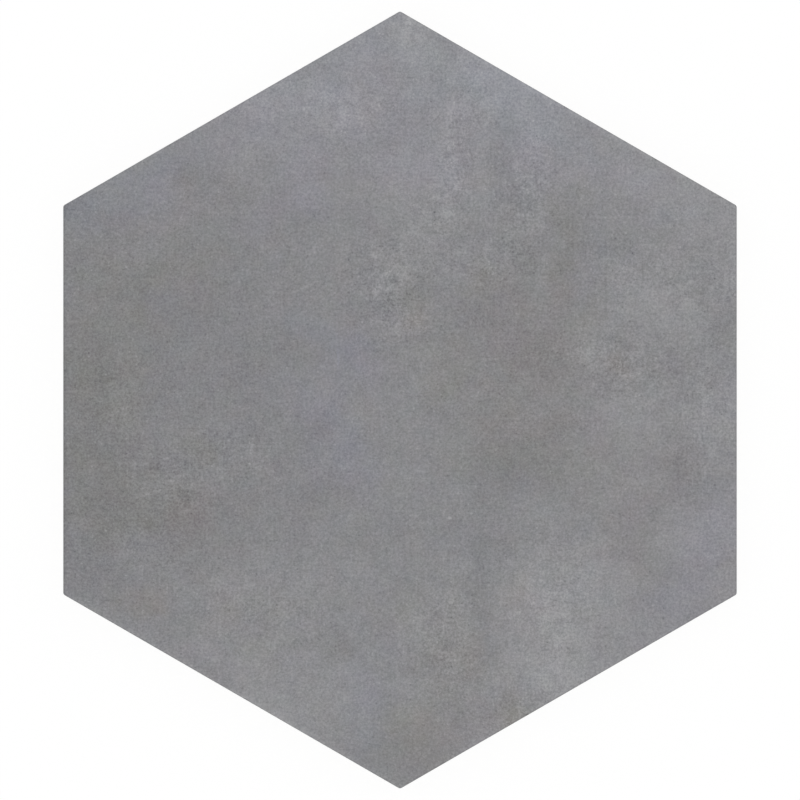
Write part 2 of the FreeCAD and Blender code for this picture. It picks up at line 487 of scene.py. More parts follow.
class Wiring:
    """Puts nodes into a tree and links them, so that a finish reads as a list of steps."""

    def __init__(self, tree: bpy.types.NodeTree) -> None:
        """Takes the tree that the nodes go into."""
        self.tree = tree

    def feed(self, socket: bpy.types.NodeSocket, value: Value) -> None:
        """Links a socket to another, or sets it to a plain value."""
        if isinstance(value, bpy.types.NodeSocket):
            self.tree.links.new(value, socket)
        else:
            socket.default_value = value

    def put(self, kind: str, settings: dict[str, object] | None = None, **values: Value) -> bpy.types.Node:
        """Adds a node.

        Args:
            kind: The node's type.
            settings: Its own settings.
            values: Its inputs by name, with underscores for spaces.

        Returns:
            The node.
        """
        node = self.tree.nodes.new(kind)
        for name, setting in (settings or {}).items():
            setattr(node, name, setting)
        for name, value in values.items():
            self.feed(node.inputs[name.replace("_", " ")], value)
        return node

    def math(self, operation: str, *values: Value) -> bpy.types.NodeSocket:
        """One step of arithmetic on numbers."""
        node = self.put("ShaderNodeMath", {"operation": operation})
        for socket, value in zip(node.inputs, values):
            self.feed(socket, value)
        return node.outputs[0]

    def vector(self, operation: str, *values: Value) -> bpy.types.NodeSocket:
        """One step of arithmetic on vectors or colours."""
        node = self.put("ShaderNodeVectorMath", {"operation": operation})
        for socket, value in zip(node.inputs, values):
            self.feed(socket, value)
        return node.outputs["Value" if operation in ("LENGTH", "DOT_PRODUCT") else "Vector"]

    def join(self, *values: Value) -> bpy.types.NodeSocket:
        """Three numbers as one vector."""
        node = self.put("ShaderNodeCombineXYZ")
        for socket, value in zip(node.inputs, values):
            self.feed(socket, value)
        return node.outputs[0]

    def scale(self, vector: Value, by: Value) -> bpy.types.NodeSocket:
        """A vector made longer or shorter."""
        node = self.put("ShaderNodeVectorMath", {"operation": "SCALE"}, Scale=by)
        self.feed(node.inputs[0], vector)
        return node.outputs["Vector"]

    def noise(self, place: Value, size: Value, detail: float = 2.0, roughness: float = 0.5) -> bpy.types.Node:
        """Noise whose largest features are about a size, in the units of the place."""
        settings = {"noise_dimensions": "3D", "normalize": True}
        values = {"Vector": place, "Scale": self.math("DIVIDE", 1.0, size)}
        return self.put("ShaderNodeTexNoise", settings, Detail=detail, Roughness=roughness, **values)

    def centred(self, place: Value, size: Value, detail: float = 2.0, roughness: float = 0.5) -> bpy.types.NodeSocket:
        """Noise that is as often below nothing as above it, and rarely beyond one."""
        factor = self.noise(place, size, detail, roughness).outputs[0]
        return self.math("MULTIPLY_ADD", factor, 4.0, -2.0)

    def ease(self, value: Value, start: float, end: float, low: float = 0.0, high: float = 1.0) -> bpy.types.NodeSocket:
        """A smooth step from low to high as the value goes from start to end."""
        node = self.put("ShaderNodeMapRange", {"interpolation_type": "SMOOTHSTEP", "clamp": False}, Value=value)
        for name, bound in (("From Min", start), ("From Max", end), ("To Min", low), ("To Max", high)):
            node.inputs[name].default_value = bound
        return node.outputs[0]

    def blend(self, share: Value, first: Value, second: Value) -> bpy.types.NodeSocket:
        """A colour between two others."""
        node = self.put("ShaderNodeMix", {"data_type": "RGBA", "clamp_factor": True})
        self.feed(node.inputs["Factor"], share)
        self.feed(node.inputs[6], first)
        self.feed(node.inputs[7], second)
        return node.outputs[2]


class Kind(StrEnum):
    """The types of a group's sockets."""

    NUMBER = "NodeSocketFloat"
    VECTOR = "NodeSocketVector"
    COLOUR = "NodeSocketColor"


class Effect:
    """A shader node group with named inputs and outputs, built once and used by several finishes."""

    def __init__(self, name: str, inputs: dict[str, tuple[str, Value]], outputs: dict[str, str]) -> None:
        """Makes the group with its sockets.

        Args:
            name: The group's name.
            inputs: The type and the plain value of each input, by name.
            outputs: The type of each output, by name.
        """
        self.tree = bpy.data.node_groups.new(name, "ShaderNodeTree")
        for label, (kind, value) in inputs.items():
            socket = self.tree.interface.new_socket(label, in_out="INPUT", socket_type=kind)
            socket.default_value = value
        for label, kind in outputs.items():
            self.tree.interface.new_socket(label, in_out="OUTPUT", socket_type=kind)
        self.wiring = Wiring(self.tree)
        self.given = self.tree.nodes.new("NodeGroupInput").outputs
        self.result = self.tree.nodes.new("NodeGroupOutput").inputs

    def place(self, wiring: Wiring, **values: Value) -> bpy.types.NodeOutputs:
        """Puts the group into another tree and returns its outputs."""
        node = wiring.put("ShaderNodeGroup", {"node_tree": self.tree})
        for name, value in values.items():
            wiring.feed(node.inputs[name.replace("_", " ")], value)
        return node.outputs


def linear(colour: Sequence[float]) -> tuple[float, float, float]:
    """A colour given as screen levels from 0 to 255, as light."""
    shares = [level / 255 for level in colour]
    return tuple(((share + 0.055) / 1.055) ** 2.4 if share > 0.04045 else share / 12.92 for share in shares)


# What one screen level more is in light, near the grey of the face.
LEVEL = 0.004

# How much red, green and blue rise, in screen levels, where the glaze is one level warmer or rosier.
WARMER = (0.15, 0.05, -0.85)
ROSIER = (0.9, -0.3, 0.15)


# How far a patch takes to fade out, beside its reach, and a reach as good as endless, in millimetres.
FADE = 1.05
FAR = 1e6


class Tone(StrEnum):
    """What patches change in the glaze, as their group names its outputs."""

    PALE = "Pale"
    DARK = "Dark"
    WARMTH = "Warmth"
    ROSE = "Rose"


@dataclass(frozen=True)
class Cloud:
    """One soft patch in the glaze, of another lightness or tint than the rest.

    Attributes:
        across: Its middle, in millimetres from the middle of the tile towards +X.
        up: The same towards +Y.
        long: How far it reaches from its middle along its length, in millimetres.
        wide: How far it reaches from its middle across its length, in millimetres.
        turn: The direction of its length, in degrees from +X.
        light: How much lighter it is, in screen levels.
        warmth: How much warmer it is, in screen levels of blue.
        rose: How much rosier it is, or greener below nothing, in screen levels of red.
    """

    across: float
    up: float
    long: float
    wide: float
    turn: float = 0.0
    light: float = 0.0
    warmth: float = 0.0
    rose: float = 0.0

    def levels(self) -> dict[Tone, float]:
        """How much it changes each tone, in screen levels."""
        return {
            Tone.PALE: max(self.light, 0.0),
            Tone.DARK: min(self.light, 0.0),
            Tone.WARMTH: self.warmth,
            Tone.ROSE: self.rose,
        }

    def draw(self, wiring: Wiring, place: Value) -> bpy.types.NodeSocket:
        """One in the middle of the patch, falling evenly to nothing a little beyond its reach."""
        spot = wiring.put("ShaderNodeTexGradient", {"gradient_type": "SPHERICAL"}, Vector=place)
        spot.texture_mapping.vector_type = "TEXTURE"
        spot.texture_mapping.translation = (self.across, self.up, 0.0)
        spot.texture_mapping.rotation = (0.0, 0.0, math.radians(self.turn))
        spot.texture_mapping.scale = (FADE * self.long, FADE * self.wide, FAR)
        return spot.outputs["Fac"]


# The patches that tell this face from another, by the part of the tile that they lie in.
TOP_CLOUDS = (
    Cloud(0, 100, 110, 46, light=4.5, warmth=-3.0),
    Cloud(5, 116, 12, 18, light=8.0),
    Cloud(-13, 112, 20, 14, 30, light=7.0, warmth=-1.5),
    Cloud(-24, 96, 26, 10, -25, light=7.5),
    Cloud(-16, 98, 18, 12, light=3.5, warmth=2.0),
    Cloud(-7, 85, 12, 9, light=-1.0),
    Cloud(-43, 95, 14, 9, 35, light=7.0),
    Cloud(-50, 80, 20, 9, 12, light=3.0),
    Cloud(-30, 79, 14, 10, light=5.0, warmth=-2.0),
    Cloud(-28, 68, 18, 10, -20, light=4.5, warmth=-2.5),
    Cloud(-3, 69, 22, 15, 60, light=5.5, warmth=-1.5),
    Cloud(12, 56, 20, 12, 20, light=4.0),
    Cloud(16, 110, 16, 9, -30, light=6.0),
    Cloud(16, 92, 10, 8, light=5.0),
    Cloud(27, 109, 13, 8, -30, light=6.0),
    Cloud(36, 102, 26, 13, -30, light=7.5, warmth=-3.5),
    Cloud(15, 76, 30, 8, 80, light=4.5),
    Cloud(35, 77, 22, 8, 85, light=-5.5),
    Cloud(37, 63, 10, 8, light=-5.0),
    Cloud(46, 86, 18, 8, 80, light=4.0),
    Cloud(47, 53, 24, 7, 88, light=5.0),
    Cloud(55, 80, 26, 11, -30, light=4.0, warmth=-3.5),
    Cloud(63, 86, 20, 7, -30, light=6.0),
    Cloud(81, 69, 20, 11, -35, light=8.0, warmth=-3.5),
    Cloud(-84, 66, 28, 11, 28, light=1.5, warmth=-5.0),
    Cloud(-64, 65, 26, 9, -18, light=-4.5),
    Cloud(-104, 62, 12, 9, light=-6.0, warmth=-2.0),
)
LEFT_CLOUDS = (
    Cloud(-80, 4, 62, 58, 90, light=-5.5),
    Cloud(-102, 8, 34, 16, 90, light=-5.0, warmth=1.0),
    Cloud(-89, 4, 26, 11, 90, warmth=4.5),
    Cloud(-98, -30, 24, 20, 90, light=-9.0, warmth=2.0),
    Cloud(-102, -52, 24, 16, -20, light=-5.5),
    Cloud(-97, 44, 16, 14, light=-3.0),
    Cloud(-74, 38, 36, 18, 0, light=-5.0),
    Cloud(-86, 34, 26, 15, -10, warmth=4.0),
    Cloud(-62, 52, 22, 9, -20, light=-3.5, warmth=0.8),
    Cloud(-73, -8, 28, 12, light=3.5),
    Cloud(-66, -13, 12, 8, warmth=3.0),
    Cloud(-76, -36, 22, 12, 0, light=-6.0, warmth=3.0),
    Cloud(-66, -47, 28, 13, 10, light=-5.0, warmth=1.0),
    Cloud(-54, -36, 14, 9, light=-2.5),
    Cloud(-47, 10, 24, 9, 85, light=-3.0),
    Cloud(-34, 18, 16, 10, light=-4.5),
    Cloud(-32, -32, 11, 11, 0, light=-5.0, warmth=-2.0),
)
MIDDLE_CLOUDS = (
    Cloud(-4, 44, 12, 10, light=4.5),
    Cloud(-11, 50, 10, 9, light=-2.5),
    Cloud(-4, 30, 20, 10, 12, light=-6.5),
    Cloud(8, 36, 11, 8, light=-4.5),
    Cloud(0, 27, 9, 8, light=5.0, warmth=-1.0),
    Cloud(-23, -2, 34, 13, 80, light=1.0, warmth=-3.0),
    Cloud(-12, 11, 16, 10, 90, warmth=-2.8),
    Cloud(-14, -17, 16, 11, 80, warmth=-4.0),
    Cloud(-30, -12, 22, 8, 42, light=-5.0),
    Cloud(-22, -26, 14, 10, light=-4.5),
    Cloud(6, 28, 16, 11, 80, warmth=4.0),
    Cloud(25, 36, 14, 9, 30, light=-3.0, warmth=4.0),
    Cloud(42, 12, 46, 30, 90, light=-3.5, warmth=2.5),
    Cloud(15, 5, 18, 12, 75, light=-4.5, warmth=3.8),
    Cloud(43, 19, 18, 13, 60, light=-5.5),
    Cloud(25, 28, 18, 10, 30, light=-5.5),
    Cloud(53, 49, 24, 8, 86, light=-8.0, warmth=3.0),
    Cloud(70, 47, 16, 10, light=-4.5),
    Cloud(54, 30, 12, 9, light=-4.5),
    Cloud(47, -20, 24, 12, 65, light=-6.5, warmth=1.5),
    Cloud(34, -21, 20, 12, 20, light=-4.5),
    Cloud(60, -25, 22, 9, -10, light=-2.5, warmth=1.0),
    Cloud(45, -36, 13, 10, light=5.0),
    Cloud(27, -60, 32, 7, 88, light=-4.5),
    Cloud(24, -43, 18, 10, 0, light=-5.0),
)
RIGHT_CLOUDS = (
    Cloud(98, 58, 26, 16, -30, light=5.0),
    Cloud(92, 50, 18, 11, 10, light=3.0),
    Cloud(84, 31, 26, 13, -38, light=6.0),
    Cloud(72, 29, 16, 10, light=3.5),
    Cloud(60, 15, 10, 8, light=4.0, warmth=-1.5),
    Cloud(52, 9, 14, 9, light=-2.5),
    Cloud(73, 12, 13, 9, 75, light=-3.0, warmth=2.8, rose=0.8),
    Cloud(74, -4, 18, 13, 20, light=4.0),
    Cloud(85, -12, 18, 9, 10, light=3.5),
    Cloud(99, -11, 16, 9, 60, light=4.5, warmth=-2.0),
    Cloud(102, 22, 16, 8, 90, light=-5.0),
    Cloud(104, 2, 14, 8, 90, warmth=-1.5),
    Cloud(89, -20, 12, 12, light=-8.0, warmth=1.0),
    Cloud(90, -31, 22, 9, 5, light=-7.0),
    Cloud(78, -46, 18, 10, 80, light=-4.0),
    Cloud(78, -36, 34, 14, 80, warmth=1.0),
    Cloud(97, -43, 24, 12, 18, light=7.0, warmth=-2.5),
    Cloud(103, -38, 18, 9, 90, light=-3.0, warmth=-2.5),
    Cloud(90, -61, 32, 14, 48, light=2.2, warmth=-2.5),
)
BOTTOM_CLOUDS = (
    Cloud(48, -68, 29, 20, 80, light=8.0),
    Cloud(68, -61, 27, 13, 110, light=8.0),
    Cloud(57, -77, 16, 10, 30, light=6.0),
    Cloud(60, -88, 16, 8, 30, light=10.0),
    Cloud(46, -86, 26, 12, 25, light=8.0),
    Cloud(29, -90, 14, 10, light=3.5),
    Cloud(38, -62, 10, 8, 90, warmth=2.5),
    Cloud(36, -99, 12, 8, 30, light=-5.0, warmth=4.0),
    Cloud(23, -84, 20, 8, 88, warmth=2.3),
    Cloud(4, -113, 28, 18, 0, light=-5.5, warmth=1.8),
    Cloud(14, -91, 12, 9, light=-3.0, warmth=-1.0),
    Cloud(2, -69, 16, 10, 20, warmth=2.5),
    Cloud(6, -72, 12, 9, light=4.0),
    Cloud(-42, -64, 44, 20, -10, light=3.0),
    Cloud(-22, -53, 18, 10, light=6.0),
    Cloud(-30, -93, 36, 14, -30, light=4.5),
    Cloud(-43, -97, 18, 10, -30, light=9.0),
    Cloud(-56, -80, 22, 11, -30, light=5.0),
    Cloud(-12, -91, 16, 11, light=5.0, warmth=-1.5),
    Cloud(-20, -79, 10, 8, light=-5.0, warmth=2.0),
    Cloud(-46, -70, 22, 9, 15, warmth=2.6),
    Cloud(-83, -64, 15, 8, 0, warmth=3.5, rose=1.0),
    Cloud(-11, -104, 18, 9, 80, warmth=-4.0),
)
ROSY_CLOUDS = (
    Cloud(39, 17, 34, 18, -52, rose=1.6),
    Cloud(42, -9, 26, 9, -8, rose=1.4),
    Cloud(66, -13, 16, 8, -45, rose=1.2),
    Cloud(75, -35, 32, 9, 85, rose=1.5),
    Cloud(70, -52, 12, 8, rose=1.0),
    Cloud(87, -24, 18, 10, 70, rose=1.1),
    Cloud(54, 33, 22, 7, 70, rose=1.1),
    Cloud(70, 10, 20, 9, 30, rose=0.9),
    Cloud(9, 26, 11, 10, warmth=1.2, rose=1.8),
    Cloud(-71, -38, 20, 13, 30, rose=1.6),
    Cloud(-65, 37, 11, 10, rose=1.1),
    Cloud(-12, 10, 36, 8, 104, rose=0.9),
    Cloud(-32, -3, 24, 9, -25, rose=0.8),
    Cloud(-28, -25, 26, 9, 0, rose=0.9),
    Cloud(-17, -13, 10, 9, rose=-0.9),
    Cloud(-70, 63, 46, 9, 18, rose=0.9),
    Cloud(-40, 62, 24, 11, 30, rose=0.9),
    Cloud(-25, 80, 32, 10, 90, rose=1.0),
    Cloud(-10, 96, 26, 13, 110, rose=1.2),
    Cloud(-52, 87, 26, 14, 30, rose=1.0),
    Cloud(5, 75, 40, 14, 0, rose=0.9),
    Cloud(20, 91, 14, 12, rose=1.0),
    Cloud(58, 76, 48, 12, -12, rose=1.0),
    Cloud(18, 105, 46, 16, -30, rose=-1.1),
    Cloud(50, 86, 22, 9, -30, rose=-1.0),
    Cloud(-88, 70, 30, 10, 30, rose=-1.0),
    Cloud(-25, 109, 18, 10, 30, rose=-1.2),
    Cloud(-105, 57, 12, 9, rose=-1.4),
    Cloud(98, -50, 48, 24, 70, rose=0.9),
    Cloud(18, -105, 28, 16, 20, warmth=0.8, rose=1.5),
    Cloud(40, -65, 12, 9, 90, rose=1.2),
    Cloud(22, -82, 11, 10, rose=1.2),
    Cloud(-54, -68, 22, 9, 60, rose=0.8),
    Cloud(-66, -85, 14, 9, -30, rose=1.0),
)
CLOUDS = TOP_CLOUDS + LEFT_CLOUDS + MIDDLE_CLOUDS + RIGHT_CLOUDS + BOTTOM_CLOUDS + ROSY_CLOUDS

# The smaller patches between them, darker ones first. Their edges fray less than those of the clouds.
PATCHES = (
    Cloud(-60, 72, 22, 8, -35, light=-4.0),
    Cloud(41, 44, 22, 14, 10, light=-4.5),
    Cloud(36, -30, 18, 11, light=-5.0),
    Cloud(30, -12, 16, 10, 90, light=-4.0),
    Cloud(-34, -37, 16, 11, 20, light=-3.5),
    Cloud(-14, -48, 24, 10, 30, light=-3.5),
    Cloud(-25, -54, 12, 10, light=-2.5),
    Cloud(93, -54, 20, 12, 15, light=-4.0),
    Cloud(-10, -87, 10, 10, light=-3.5),
    Cloud(-50, -77, 16, 8, 25, light=-3.0),
    Cloud(20, -37, 10, 8, light=-3.0),
    Cloud(1, 18, 14, 7, light=-3.5),
    Cloud(-14, 15, 12, 10, light=-2.5),
    Cloud(-27, 57, 26, 9, 5, light=-3.0),
    Cloud(-35, 77, 18, 9, light=-3.0),
    Cloud(23, 15, 20, 14, light=-2.5),
    Cloud(92, 10, 16, 12, light=-3.0),
    Cloud(97, 31, 14, 12, 90, light=-3.5),
    Cloud(83, 57, 10, 8, light=-3.5),
    Cloud(-95, 3, 34, 6, 90, light=-2.0),
    Cloud(-106, 0, 90, 14, 90, light=-1.6),
    Cloud(-55, -18, 40, 26, light=-1.5),
    Cloud(-36, 44, 30, 24, light=-1.5),
    Cloud(71, -63, 20, 7, -60, light=-3.0),
    Cloud(60, -83, 16, 6, -35, light=-4.0),
    Cloud(24, -86, 14, 10, light=-2.5),
    Cloud(36, -96, 18, 8, 15, light=-3.0),
    Cloud(27, -65, 10, 8, light=-3.0),
    Cloud(50, 92, 12, 8, -60, light=-3.5),
    Cloud(68, 82, 20, 6, -30, light=-3.0),
    Cloud(28, 107, 10, 6, -30, light=-5.5),
    Cloud(12, 115, 8, 6, -30, light=-3.0),
    Cloud(-14, 106, 10, 9, light=-3.0),
    Cloud(68, -14, 16, 8, -10, light=-2.5),
    Cloud(50, 54, 12, 7, 60, light=-3.0),
    Cloud(-8, 45, 14, 9, 60, light=-2.5),
    Cloud(-88, 57, 16, 10, 10, light=-4.0),
    Cloud(-84, -64, 26, 12, -20, light=-3.0),
    Cloud(90, 66, 10, 7, -30, light=-4.0),
    Cloud(-2, 117, 6, 6, light=-4.5),
    Cloud(-37, 95, 10, 7, 30, light=-3.5),
    Cloud(17, -7, 9, 8, light=-3.5),
    Cloud(-103, -13, 12, 10, 90, light=-3.0),
    Cloud(24, -102, 12, 9, light=-3.0),
    Cloud(-75, 36, 18, 12, 80, light=3.0),
    Cloud(-53, 62, 11, 9, light=3.5),
    Cloud(-22, 51, 20, 9, -15, light=3.0),
    Cloud(16, -78, 10, 10, light=2.5),
    Cloud(-3, -83, 10, 9, 90, light=2.5),
    Cloud(58, 49, 11, 9, light=2.5),
    Cloud(42, 72, 10, 9, light=2.5),
    Cloud(-31, 92, 10, 9, light=4.5),
    Cloud(-45, 84, 16, 8, 70, light=3.0),
    Cloud(-68, 66, 18, 7, -40, light=3.0),
    Cloud(30, 71, 20, 8, 100, light=4.5),
    Cloud(28, 92, 15, 8, 75, light=3.5),
    Cloud(47, 32, 18, 9, 70, light=5.0),
    Cloud(10, 14, 16, 7, 80, light=3.5),
    Cloud(6, 33, 16, 9, 45, light=2.0),
    Cloud(27, 36, 14, 7, 70, light=3.0),
    Cloud(87, -12, 12, 10, light=3.5),
    Cloud(44, -20, 16, 8, 80, light=3.0),
    Cloud(-102, -29, 18, 11, 80, light=4.5),
    Cloud(-87, 47, 26, 9, 35, light=3.5),
    Cloud(-103, -5, 22, 7, 90, light=2.5),
    Cloud(88, -32, 34, 12, light=2.5),
    Cloud(20, -68, 10, 9, light=4.0),
    Cloud(42, -66, 24, 22, 90, light=2.5),
    Cloud(56, -66, 12, 9, light=3.0),
    Cloud(80, -54, 24, 7, 40, light=3.5),
    Cloud(8, -92, 12, 11, light=4.0),
    Cloud(30, -104, 14, 6, 30, light=4.0),
    Cloud(-2, -108, 34, 12, light=1.5),
    Cloud(5, 108, 24, 10, 100, light=3.0),
    Cloud(88, 71, 16, 5, -30, light=4.0),
    Cloud(88, 36, 30, 10, 110, light=3.0),
    Cloud(-60, -52, 12, 10, 90, light=2.5),
    Cloud(17, -50, 9, 9, light=3.0),
    Cloud(-22, -28, 26, 16, light=1.5),
    Cloud(-19, -83, 12, 10, light=2.5),
    Cloud(104, -57, 14, 8, 90, light=3.0),
    Cloud(5, 76, 16, 9, light=2.5),
    Cloud(58, 62, 24, 8, 80, light=2.0),
    Cloud(-50, 88, 46, 16, 25, warmth=-1.5),
    Cloud(-20, 96, 16, 10, -45, warmth=-2.5),
    Cloud(-40, 61, 24, 10, 25, warmth=-2.0),
    Cloud(-80, 32, 28, 9, -25, warmth=-2.2),
    Cloud(-92, 5, 14, 8, 90, warmth=-2.0),
    Cloud(-28, 22, 20, 9, -35, warmth=-2.0),
    Cloud(-35, 0, 24, 9, -25, warmth=-2.0),
    Cloud(2, 24, 10, 9, warmth=-2.2),
    Cloud(19, 33, 12, 9, 30, warmth=-2.5),
    Cloud(12, 72, 12, 12, warmth=-1.8),
    Cloud(42, 76, 16, 9, 110, warmth=-1.8),
    Cloud(60, 46, 24, 9, 80, warmth=-1.5),
    Cloud(40, -26, 18, 8, 10, warmth=-1.8),
    Cloud(-6, -75, 26, 14, warmth=-1.3),
    Cloud(-48, -71, 12, 9, 40, warmth=-1.5),
    Cloud(-88, 65, 22, 12, 40, warmth=2.2),
    Cloud(-67, 72, 12, 9, warmth=1.8),
    Cloud(-68, 44, 22, 12, -20, warmth=2.0),
    Cloud(-102, 10, 30, 12, 90, warmth=2.0),
    Cloud(-86, -24, 40, 12, -15, warmth=2.0),
    Cloud(-5, 66, 30, 8, warmth=1.6),
    Cloud(-12, -5, 20, 7, 105, warmth=3.0),
    Cloud(-28, -32, 12, 8, warmth=2.0),
    Cloud(25, -15, 26, 18, warmth=1.5),
    Cloud(60, 20, 20, 8, 110, warmth=2.0),
    Cloud(60, -20, 26, 12, 20, warmth=1.5),
    Cloud(101, -9, 12, 10, warmth=2.0),
    Cloud(84, 65, 12, 8, warmth=2.5),
    Cloud(52, 79, 16, 8, warmth=1.5),
    Cloud(12, -86, 36, 14, 80, warmth=2.4),
    Cloud(-6, -103, 22, 8, 10, warmth=2.0),
    Cloud(-44, -79, 12, 9, 30, warmth=1.8),
    Cloud(82, -48, 22, 10, 50, warmth=1.4),
    Cloud(105, -43, 14, 9, 90, warmth=2.3),
)

# The small marks with sharper edges: flecks, chafed spots and hairlines.
MARKS = (
    Cloud(2, 119, 6, 2.0, 75, light=12.0),
    Cloud(15.3, 60.5, 4.5, 2.4, -8, light=12.0),
    Cloud(12.2, 65.0, 1.8, 1.2, light=14.0),
    Cloud(17.4, 74, 11, 0.9, 90, light=6.0),
    Cloud(37.0, 77, 7, 0.9, -80, light=6.0),
    Cloud(35, 62, 2.4, 1.8, light=8.0),
    Cloud(29, 43, 4.5, 2.4, -35, light=8.0),
    Cloud(29.5, 51.5, 3.2, 2.4, light=6.0),
    Cloud(-5.5, 38.5, 6.0, 2.0, 60, light=8.0),
    Cloud(-7.6, 34, 2.2, 1.5, light=9.0),
    Cloud(-27.6, 48, 2.8, 1.4, 90, light=8.0),
    Cloud(-31, 36, 6.0, 0.8, 24, light=9.0),
    Cloud(-20, 13.5, 5.0, 0.7, 90, light=7.0, warmth=-4.0),
    Cloud(57, 14, 6.0, 4.0, light=6.0),
    Cloud(74, 7.8, 7.0, 0.7, light=11.0),
    Cloud(74.5, 15, 8.5, 0.7, 4, light=8.0),
    Cloud(-81, -30.5, 6.0, 0.6, 14, light=8.0),
    Cloud(-48, -15, 4.0, 1.8, 70, light=8.0),
    Cloud(16, -37.8, 0.9, 0.8, light=34.0),
    Cloud(-38, -90.8, 10.0, 0.6, 5, light=-8.0),
    Cloud(-74.5, -26, 3.0, 0.8, 80, light=-9.0),
    Cloud(-85, -20.6, 7.0, 0.6, -6, light=7.0),
    Cloud(35, -52, 2.5, 1.2, -40, light=7.0),
)


# Where light flakes lie and the mottling is stronger, and below nothing where it is calm.
LIVELY = (
    Cloud(-4, 38, 24, 18, 70, light=1.3),
    Cloud(-1, 25, 15, 13, light=0.6),
    Cloud(15, 64, 24, 12, 70, light=1.0),
    Cloud(19, 88, 28, 11, 80, light=0.8),
    Cloud(41, 66, 32, 15, 80, light=1.1),
    Cloud(28, 44, 22, 15, light=0.8),
    Cloud(71, 12, 28, 18, -20, light=1.2),
    Cloud(76, 41, 30, 16, light=0.8),
    Cloud(97, 0, 40, 16, 80, light=0.8),
    Cloud(103, 37, 20, 14, light=0.8),
    Cloud(-73, -27, 20, 16, light=1.1),
    Cloud(-54, -18, 22, 14, light=0.7),
    Cloud(-90, -4, 24, 13, 90, light=0.5),
    Cloud(-43, -66, 38, 20, light=0.6),
    Cloud(-86, -46, 32, 14, -20, light=0.5),
    Cloud(15, -77, 28, 16, 90, light=1.1),
    Cloud(50, -62, 34, 22, 70, light=0.8),
    Cloud(38, -99, 26, 12, 30, light=0.7),
    Cloud(-12, 94, 26, 14, light=0.5),
    Cloud(-66, 66, 20, 12, light=0.3),
    Cloud(-76, 78, 40, 20, 30, light=-0.35),
    Cloud(-78, 24, 42, 22, light=-0.35),
    Cloud(-25, 22, 22, 30, light=-0.3),
    Cloud(-20, 64, 24, 14, light=-0.25),
    Cloud(32, -24, 26, 18, light=-0.2),
    Cloud(-2, -112, 34, 16, light=-0.35),
)


@dataclass(frozen=True)
class PatchEffect:
    """A set of patches whose edges fray alike, as a group.

    Attributes:
        name: The group's name.
        patches: The patches.
        fray: How far their edges wander, in millimetres.
        fray_size: The size of that wandering, in millimetres.
        detail: How many finer layers it has.
    """

    name: str
    patches: tuple[Cloud, ...]
    fray: float = 0.0
    fray_size: float = 1.0
    detail: float = 0.0

    def build(self) -> Effect:
        """Makes the group, which puts out what the patches add up to in each tone."""
        effect = Effect(
            self.name,
            {"Place": (Kind.VECTOR, (0.0, 0.0, 0.0))},
            {tone: Kind.NUMBER for tone in Tone},
        )
        wiring = effect.wiring
        place = self._pushed(wiring, effect.given["Place"]) if self.fray else effect.given["Place"]
        totals: dict[Tone, Value] = dict.fromkeys(Tone, 0.0)
        for patch in self.patches:
            strength = patch.draw(wiring, place)
            for tone, levels in patch.levels().items():
                if levels:
                    eased = wiring.ease(strength, 0.0, 1.0, 0.0, levels)
                    totals[tone] = wiring.math("ADD", eased, totals[tone])
        for tone, total in totals.items():
            wiring.feed(effect.result[tone], total)
        return effect

    def _pushed(self, wiring: Wiring, place: Value) -> bpy.types.NodeSocket:
        """The place, pushed about so that what lies there has frayed edges."""
        push = wiring.noise(place, self.fray_size, self.detail, 0.62).outputs["Color"]
        centred = wiring.vector("SUBTRACT", push, (0.5, 0.5, 0.5))
        return wiring.vector("ADD", place, wiring.scale(centred, 2 * self.fray))


@dataclass(frozen=True)
class GrainEffect:
    """The fine speckle of fired clay and glaze, as a group.

    Attributes:
        fine_share: How small the finer of its two layers is beside the coarser.
        fine_weight: How strong the finer layer is beside the coarser.
    """

    fine_share: float = 0.5
    fine_weight: float = 0.8

    def build(self) -> Effect:
        """Makes the group, which puts out a number about nothing."""
        effect = Effect(
            "fired_grain",
            {"Place": (Kind.VECTOR, (0.0, 0.0, 0.0)), "Size": (Kind.NUMBER, 1.0)},
            {"Grain": Kind.NUMBER},
        )
        wiring, given = effect.wiring, effect.given
        coarse = wiring.centred(given["Place"], given["Size"], 1.0)
        small = wiring.math("MULTIPLY", given["Size"], self.fine_share)
        fine = wiring.centred(wiring.vector("ADD", given["Place"], (31.0, 17.0, 5.0)), small, 1.0)
        both = wiring.math("MULTIPLY_ADD", fine, self.fine_weight, coarse)
        wiring.feed(effect.result["Grain"], both)
        return effect


